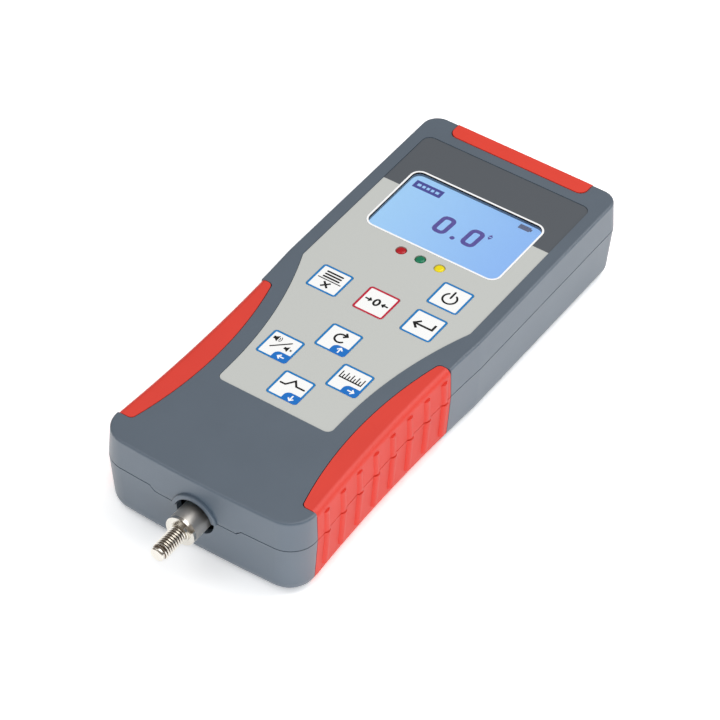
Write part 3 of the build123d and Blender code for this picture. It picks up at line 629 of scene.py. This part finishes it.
def draw_scale(bm):
    """Ruler with long and short marks."""
    bar_half, bar_low, bar_top = 4.2, -0.35, 0.2
    mark_half, mark_spacing, long_mark, short_mark = 0.2, 1.0, 2.6, 1.5
    outline = [(-bar_half, bar_low), (bar_half, bar_low)]
    for index in range(4, -5, -1):
        middle = index * mark_spacing
        level = bar_top + (short_mark if index % 2 else long_mark)
        right, left = middle + mark_half, middle - mark_half
        outline += [(right, bar_top), (right, level), (left, level), (left, bar_top)]
    add_patch(bm, outline)


def draw_curve(bm):
    """Measuring curve with one peak."""
    rise = [(-4.1, 0.3), (-2.3, 0.3), (-0.3, 3.2), (1.2, 1.2), (4.1, 1.2)]
    add_stroke(bm, rise, stroke_width)


def draw_digit(bm, centre_x):
    """Nought of the readout, slightly slanted."""
    half = ((digit_width - digit_stroke) / 2, (digit_height - digit_stroke) / 2)
    ring = rounded_outline((centre_x, 0), half, half[0] * 0.7, 3)
    slanted = [(x + y * digit_slant, y) for x, y in ring]
    add_stroke(bm, slanted, digit_stroke, closed=True)


def draw_readout(bm):
    """Noughts and point of the readout."""
    for centre_x in digit_x:
        draw_digit(bm, centre_x)
    add_patch(bm, ring_points((point_place[0], point_place[1] - digit_y), point_radius, 24))


def draw_mark(bm):
    """Small pair of triangles that stands beside the readout."""
    half, base, tip = 0.85, 0.2, 1.3
    for sign in (1, -1):
        add_patch(bm, [(-half, base * sign), (half, base * sign), (0, tip * sign)])


def draw_battery(bm):
    """Battery symbol: a full bar with its contact."""
    add_patch(bm, rounded_outline((0, 0), (2.1, 1.1), 0.1, 2))
    add_patch(bm, rounded_outline((2.4, 0), (0.3, 0.6), 0.05, 2))


def draw_label(bm):
    """Dark field at the upper left of the display with a row of clear cells."""
    add_ring(bm, rounded_outline((0, 0), label_half, 0), rounded_outline((0, 0), label_row_half, 0))
    for share in (-1.5, -0.5, 0.5, 1.5):
        bar = rounded_outline((share * label_bar_spacing, 0), (label_bar_half, label_row_half[1]), 0)
        add_patch(bm, bar)


def draw_painted_edge_shadow(bm):
    """Painted shadow: a dark band along the display's far edge, standing for the shade under the window's
    far rim.
    """
    add_patch(bm, rounded_outline((0, 0), painted_shadow_half, 0))


def draw_window_line(bm):
    """White line round the display window."""
    half = ((window_high.x - window_low.x) / 2, (window_high.y - window_low.y) / 2)
    inner = (half[0] - window_line, half[1] - window_line)
    add_ring(
        bm,
        rounded_outline((0, 0), half, window_corner),
        rounded_outline((0, 0), inner, window_corner - window_line),
    )


# Key printing: each key's symbol, and the way its arrow points in degrees where it has one
legends = {
    "key_menu": (draw_menu, None),
    "key_zero": (draw_zero, None),
    "key_enter": (draw_enter, None),
    "key_power": (draw_power, None),
    "key_reset": (draw_reset, 90),
    "key_sound": (draw_sound, 180),
    "key_units": (draw_scale, 0),
    "key_mode": (draw_curve, 270),
}
for name, (draw_legend, angle) in legends.items():
    low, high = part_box(name)
    middle = (low + high) / 2 / MM
    place = Vector((middle.x, middle.y, key_top))
    border_ink = ink_red if name == "key_zero" else ink_blue
    print_piece(draw_border, name + "_border", name, border_ink, place)
    print_piece(draw_legend, name + "_legend", name, ink_black, place)
    if angle is not None:
        print_piece(draw_tab, name + "_tab", name, ink_tab, place, layer=2)
        print_piece(
            lambda bm: draw_tab_arrow(bm, angle),
            name + "_arrow",
            name,
            ink_white,
            place,
            layer=3,
        )

# Line round the window, then what the display shows under it
window_middle = (window_low + window_high) / 2
window_place = (window_middle.x, window_middle.y, window_high.z)
print_piece(draw_window_line, "display_window_line", "housing", ink_white, window_place)
display_prints = {
    "display_readout": (draw_readout, digit_ink, (0, digit_y, glass_top)),
    "display_mark": (draw_mark, digit_ink, (*mark_place, glass_top)),
    "display_battery": (draw_battery, battery_ink, (*battery_place, glass_top)),
    # Painted shadow along the display's far edge, laid on the display frame's top
    "display_painted_edge_shadow": (draw_painted_edge_shadow, painted_edge_shadow_ink, (0, painted_shadow_y, display_frame_top)),
    "display_label": (draw_label, label_ink, (*label_place, glass_top)),
}
for name, (draw, segment_ink, place) in display_prints.items():
    print_piece(draw, name, "housing", segment_ink, place)


def cut_beyond(bm, level, outward):
    """Takes away what lies beyond the level along y, where outward is 1 or -1."""
    bmesh.ops.bisect_plane(
        bm,
        geom=bm.verts[:] + bm.edges[:] + bm.faces[:],
        plane_co=(0, level, 0),
        plane_no=(0, outward, 0),
        clear_outer=True,
    )


def close_holes(bm):
    """Closes every open rim with a face."""
    bmesh.ops.holes_fill(bm, edges=[edge for edge in bm.edges if edge.is_boundary])


def turned_thread(start_y, end_y, axis_z):
    """Closed M6 thread from start_y down to end_y, its crests fading out towards both ends."""
    bm = bmesh.new()
    turns = math.ceil((start_y - end_y) / thread_pitch) + 2
    first_y = start_y + thread_pitch
    flank = (stud_radius - stud_core) * math.tan(math.radians(30)) / thread_pitch
    root_radius = stud_core + root_share * (stud_radius - stud_core)
    profile = (
        (stud_core, 0.0),
        (stud_core, root_flat),
        (root_radius, root_flat + root_share * flank),
        (stud_radius, root_flat + flank),
        (stud_radius, root_flat + crest_flat + flank),
        (root_radius, root_flat + crest_flat + (2 - root_share) * flank),
        (stud_core, root_flat + crest_flat + 2 * flank),
        (stud_core, 1.0),
    )
    verts = [bm.verts.new((radius, first_y - share * thread_pitch, axis_z)) for radius, share in profile]
    edges = [bm.edges.new(pair) for pair in zip(verts, verts[1:])]
    bmesh.ops.spin(
        bm,
        geom=verts + edges,
        cent=(0, first_y, axis_z),
        axis=(0, -1, 0),
        dvec=(0, -thread_pitch / thread_steps, 0),
        angle=2 * math.pi * turns,
        steps=thread_steps * turns,
    )
    bmesh.ops.remove_doubles(bm, verts=bm.verts, dist=thread_merge)
    cut_beyond(bm, start_y, 1)
    cut_beyond(bm, end_y, -1)
    for vert in bm.verts:
        across = Vector((vert.co.x, vert.co.z - axis_z))
        limit = stud_core + fade_slope * min(start_y - vert.co.y, vert.co.y - end_y)
        if across.length > max(limit, stud_core):
            across *= max(limit, stud_core) / across.length
            vert.co.x, vert.co.z = across.x, axis_z + across.y
    close_holes(bm)
    # Faces nearer the axis than root_radius take the second material, the painted shade in the roots
    for face in bm.faces:
        middle = face.calc_center_median()
        face.material_index = int(math.hypot(middle.x, middle.z - axis_z) < root_radius)
    return bm


def turned_part(profile, axis_z):
    """Closed turned piece round the rod's axis; the profile runs from the axis and back to it."""
    bm = bmesh.new()
    verts = [bm.verts.new((radius, level, axis_z)) for radius, level in profile]
    edges = [bm.edges.new(pair) for pair in zip(verts, verts[1:])]
    bmesh.ops.spin(
        bm,
        geom=verts + edges,
        cent=(0, 0, axis_z),
        axis=(0, 1, 0),
        angle=2 * math.pi,
        steps=turned_steps,
        use_merge=True,
    )
    bmesh.ops.remove_doubles(bm, verts=bm.verts, dist=turned_merge)
    return bm


def turned_end(start_y, tip_y, axis_z):
    """Smooth rounded end of the stud."""
    rounding = []
    for step in range(rounding_steps + 1):
        angle = step * math.pi / (2 * rounding_steps)
        radius = end_radius - end_rounding + end_rounding * math.cos(angle)
        rounding.append((radius, tip_y + end_rounding - end_rounding * math.sin(angle)))
    profile = [(0, start_y + neck_overlap), (stud_core, start_y + neck_overlap), (stud_core, start_y)]
    return turned_part(profile + [(end_radius, start_y - end_bevel)] + rounding + [(0, tip_y)], axis_z)


def turned_shoulder(face_y, axis_z):
    """Low bevelled ring round the stud's root, against the flange."""
    end_y = face_y - shoulder_length
    profile = [
        (0, face_y + neck_overlap),
        (shoulder_radius, face_y + neck_overlap),
        (shoulder_radius, end_y + neck_overlap),
        (shoulder_radius - neck_overlap, end_y),
        (0, end_y),
    ]
    return turned_part(profile, axis_z)


def add_bmesh(bm, part):
    """Adds the faces of part to bm and frees part."""
    mesh = bpy.data.meshes.new("part")
    part.to_mesh(mesh)
    part.free()
    bm.from_mesh(mesh)
    bpy.data.meshes.remove(mesh)


def make_adapter():
    """The adapter with its real thread: its solid cut off in the neck, then shoulder, thread and end."""
    bm = bmesh.new()
    bm.from_mesh(frame["nodes"]["rod_adapter"].data)
    bmesh.ops.scale(bm, vec=(1 / MM, 1 / MM, 1 / MM), verts=bm.verts)
    bmesh.ops.remove_doubles(bm, verts=bm.verts, dist=turned_merge)
    axis_z = (adapter_low.z + adapter_high.z) / 2
    tip_y = adapter_low.y
    face_y = tip_y + stud_reach
    start_y = tip_y + thread_length
    cut_beyond(bm, face_y - neck_overlap, -1)
    close_holes(bm)
    add_bmesh(bm, turned_shoulder(face_y, axis_z))
    add_bmesh(bm, turned_thread(start_y + neck_overlap, tip_y + smooth_end, axis_z))
    add_bmesh(bm, turned_end(tip_y + smooth_end, tip_y, axis_z))
    piece = finish_piece(bm, "threaded_adapter", "rod", thread_steel, ("rod_adapter",))
    # Second material: the painted shade in the thread's roots
    piece.data.materials.append(painted_root_shade_steel)


def floor_material():
    """Pale studio floor with one brightness each for bounced light, for reflections and for the camera."""
    material = bpy.data.materials.new("pale studio floor")
    material.use_nodes = True
    tree = material.node_tree
    tree.nodes.clear()
    rays = add_node(tree, "ShaderNodeLightPath")
    matt, mirrored, seen = (
        add_node(tree, "ShaderNodeBsdfDiffuse", inputs={"Color": (level, level, level, 1)})
        for level in (floor_matt, floor_mirrored, floor_seen)
    )
    unseen = add_node(
        tree,
        "ShaderNodeMixShader",
        inputs={"Fac": rays.outputs["Is Diffuse Ray"], 1: mirrored.outputs[0], 2: matt.outputs[0]},
    )
    mix = add_node(
        tree,
        "ShaderNodeMixShader",
        inputs={"Fac": rays.outputs["Is Camera Ray"], 1: unseen.outputs[0], 2: seen.outputs[0]},
    )
    add_node(tree, "ShaderNodeOutputMaterial", inputs={"Surface": mix.outputs[0]})
    return material


def make_floor():
    """Wide floor just under the gauge; the camera sees it white, with the gauge's own shadow."""
    bm = bmesh.new()
    bmesh.ops.create_grid(bm, x_segments=1, y_segments=1, size=floor_size)
    bmesh.ops.translate(bm, verts=bm.verts, vec=(0, 0, -floor_drop))
    new_object(bm, "floor", floor_material())


def make_world():
    """Surroundings: plain pale light, white to the camera, and a dim warm room in reflections."""
    world = bpy.data.worlds.new("studio")
    bpy.context.scene.world = world
    world.use_nodes = True
    tree = world.node_tree
    tree.nodes.clear()
    rays = add_node(tree, "ShaderNodeLightPath")
    pale, white, room = (
        add_node(tree, "ShaderNodeBackground", inputs={"Color": colour, "Strength": strength})
        for colour, strength in (((1, 1, 1, 1), pale_strength), ((1, 1, 1, 1), 1.0), (room_colour, 1.0))
    )
    reflected = add_node(
        tree,
        "ShaderNodeMixShader",
        inputs={"Fac": rays.outputs["Is Glossy Ray"], 1: pale.outputs[0], 2: room.outputs[0]},
    )
    seen = add_node(
        tree,
        "ShaderNodeMixShader",
        inputs={"Fac": rays.outputs["Is Camera Ray"], 1: reflected.outputs[0], 2: white.outputs[0]},
    )
    add_node(tree, "ShaderNodeOutputWorld", inputs={"Surface": seen.outputs[0]})


def add_area_light(name, azimuth, elevation, distance, size, power, mirrored=True):
    """Square soft light aimed at the origin, in degrees, metres and watts.

    Azimuth 0 stands off the stud's end and 90 off the right side. Where mirrored is False, the light
    doesn't show in reflections.
    """
    data = bpy.data.lights.new(name, "AREA")
    data.shape = "SQUARE"
    data.size = size
    data.energy = power
    lamp = bpy.data.objects.new(name, data)
    lamp.visible_glossy = mirrored
    bpy.context.scene.collection.objects.link(lamp)
    around, above = math.radians(azimuth), math.radians(elevation)
    out = Vector((math.sin(around) * math.cos(above), -math.cos(around) * math.cos(above), math.sin(above)))
    lamp.location = out * distance
    lamp.rotation_euler = out.to_track_quat("Z", "Y").to_euler()


def make_camera():
    """Camera at the photograph's place."""
    data = bpy.data.cameras.new("camera")
    data.lens = camera_lens
    data.sensor_width = camera_sensor
    data.shift_x, data.shift_y = camera_shift
    data.clip_start, data.clip_end = 0.05, 20.0
    camera = bpy.data.objects.new("camera", data)
    bpy.context.scene.collection.objects.link(camera)
    camera.location = Vector(camera_place) * MM
    camera.rotation_euler = Euler([math.radians(angle) for angle in camera_turn], "XYZ")
    bpy.context.scene.camera = camera


# The piece with the thread, then floor, world, lights and camera
make_adapter()
make_floor()
make_world()
add_area_light("front_light", 42, 20, distance=1.6, size=1.2, power=15.0, mirrored=False)
add_area_light("rear_light", 150, 62, distance=1.4, size=0.9, power=6.5)
add_area_light("left_light", 308, 58, distance=1.4, size=1.1, power=3.0)
add_area_light("strip_light", 133, 29, distance=1.4, size=0.4, power=1.6)
make_camera()
bpy.context.scene.view_settings.view_transform = "Standard"
